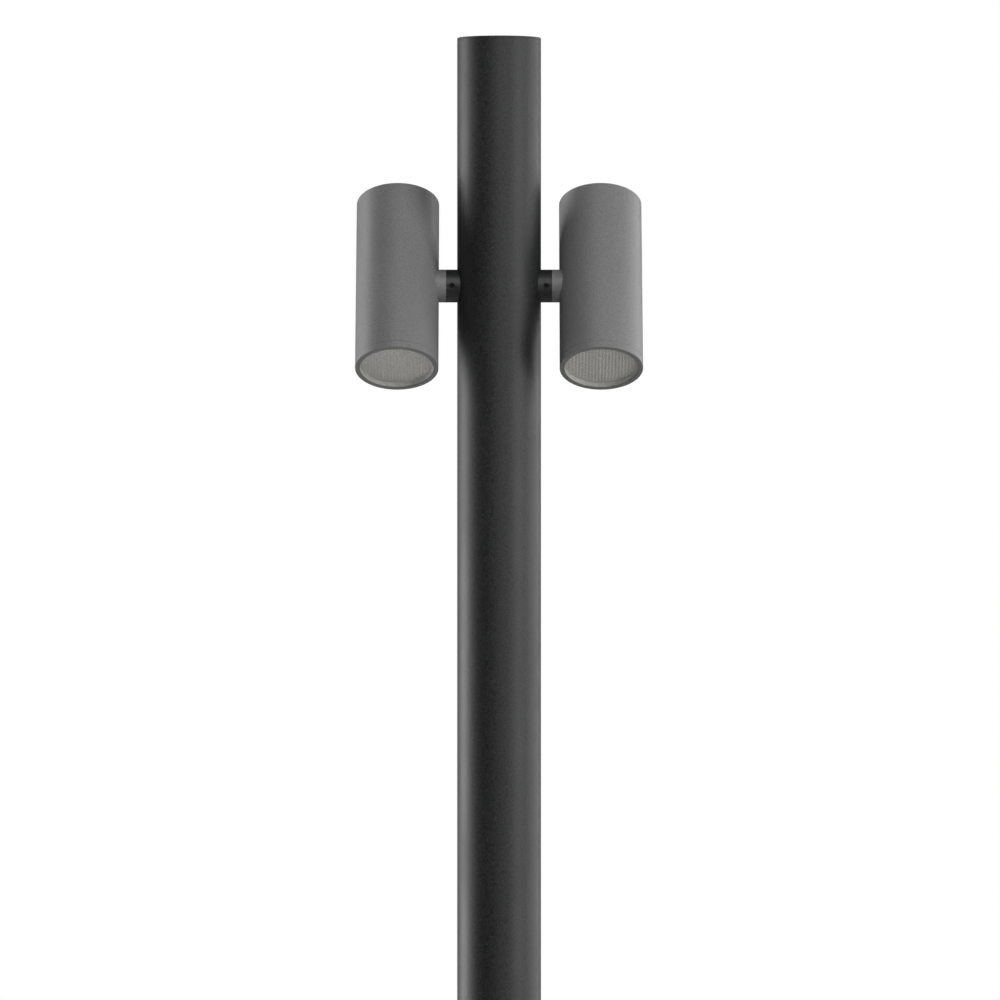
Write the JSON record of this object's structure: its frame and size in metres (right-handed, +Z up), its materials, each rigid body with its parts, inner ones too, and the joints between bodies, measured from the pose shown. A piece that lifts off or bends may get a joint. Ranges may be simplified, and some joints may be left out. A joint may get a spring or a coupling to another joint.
{
  "type": "column luminaire with two tilting spotlights",
  "caption": "Round steel column on a flanged base with paired cylindrical spotlights that tilt on short hollow arms near its top.",
  "frame": {"origin": "centre of the base plate's underside, at ground level", "axes": "+Z up along the column, the lamps shine towards -Y, X runs across the two lamps"},
  "size_m": [0.3486, 0.25, 3],
  "materials": {
    "column_coating": "fine-grain anthracite powder coat",
    "lamp_coating": "fine-grain mid-grey powder coat",
    "front_glass": "clear, polished",
    "lens_plastic": "ribbed, satin",
    "gasket_silicone": "matt silicone",
    "reflector_aluminium": "satin anodised",
    "led_board": "phosphor over white board",
    "holder_plastic": "moulded, matt",
    "sink_aluminium": "raw casting",
    "driver_plastic": "moulded, matt",
    "rubber": "matt",
    "cable_sheath": "extruded sheath",
    "screw_steel": "stainless",
    "lock_steel": "black oxide",
    "earth_brass": "plain",
    "zinc_steel": "zinc plated",
    "box_plastic": "moulded, matt",
    "terminal_plastic": "moulded, matt",
    "gland_plastic": "moulded, matt",
    "fuse_ceramic": "glazed"
  },
  "bodies": {
    "pole": {"pole_tube": "column_coating", "base_plate": "column_coating", "base_weld": "column_coating", "pole_cap": "column_coating", "cap_o_ring": "rubber", "door_frame": "column_coating", "fuse_box": "box_plastic", "fuse_box_lid": "box_plastic", "box_terminals": "terminal_plastic", "fuses": "fuse_ceramic", "box_glands": "gland_plastic", "box_bracket": "zinc_steel", "box_screws": "screw_steel", "earth_stud": "screw_steel", "earth_nuts": "earth_brass", "left_feed_cable": "cable_sheath", "right_feed_cable": "cable_sheath", "left_collar": "column_coating", "right_collar": "column_coating", "stop_pins": "screw_steel", "joint_seals": "rubber"},
    "access_door": {"door_panel": "column_coating", "door_gasket": "rubber", "door_screws": "screw_steel"},
    "left_lock": {"left_lock_screw": "lock_steel"},
    "right_lock": {"right_lock_screw": "lock_steel"},
    "left_head": {"left_housing": "lamp_coating", "left_rear_cap": "lamp_coating", "left_rear_cap_screws": "screw_steel", "left_rear_o_ring": "rubber", "left_front_ring": "lamp_coating", "left_glass": "front_glass", "left_glass_gasket": "gasket_silicone", "left_spread_lens": "lens_plastic", "left_reflector": "reflector_aluminium", "left_led_module": "led_board", "left_led_holder": "holder_plastic", "left_heat_sink": "sink_aluminium", "left_driver": "driver_plastic", "left_driver_bracket": "zinc_steel", "left_swivel_shaft": "lamp_coating", "left_shaft_nuts": "screw_steel", "left_head_cables": "cable_sheath"},
    "right_head": {"right_housing": "lamp_coating", "right_rear_cap": "lamp_coating", "right_rear_cap_screws": "screw_steel", "right_rear_o_ring": "rubber", "right_front_ring": "lamp_coating", "right_glass": "front_glass", "right_glass_gasket": "gasket_silicone", "right_spread_lens": "lens_plastic", "right_reflector": "reflector_aluminium", "right_led_module": "led_board", "right_led_holder": "holder_plastic", "right_heat_sink": "sink_aluminium", "right_driver": "driver_plastic", "right_driver_bracket": "zinc_steel", "right_swivel_shaft": "lamp_coating", "right_shaft_nuts": "screw_steel", "right_head_cables": "cable_sheath"}
  },
  "joints": [
    {"name": "left_tilt", "type": "hinge", "parent": "pole", "child": "left_head", "pos_m": [-0.1238, 0, 2.698], "axis": [-1, 0, 0], "range_deg": [-120, 60]},
    {"name": "right_tilt", "type": "hinge", "parent": "pole", "child": "right_head", "pos_m": [0.1238, 0, 2.698], "axis": [-1, 0, 0], "range_deg": [-120, 60]},
    {"name": "left_lock_travel", "type": "slide", "parent": "pole", "child": "left_lock", "axis": [0, -1, 0], "range_m": [0, 0.003]},
    {"name": "right_lock_travel", "type": "slide", "parent": "pole", "child": "right_lock", "axis": [0, -1, 0], "range_m": [0, 0.003]},
    {"name": "door_lift_off", "type": "slide", "parent": "pole", "child": "access_door", "axis": [0, -1, 0], "range_m": [0, 0.08]}
  ]
}
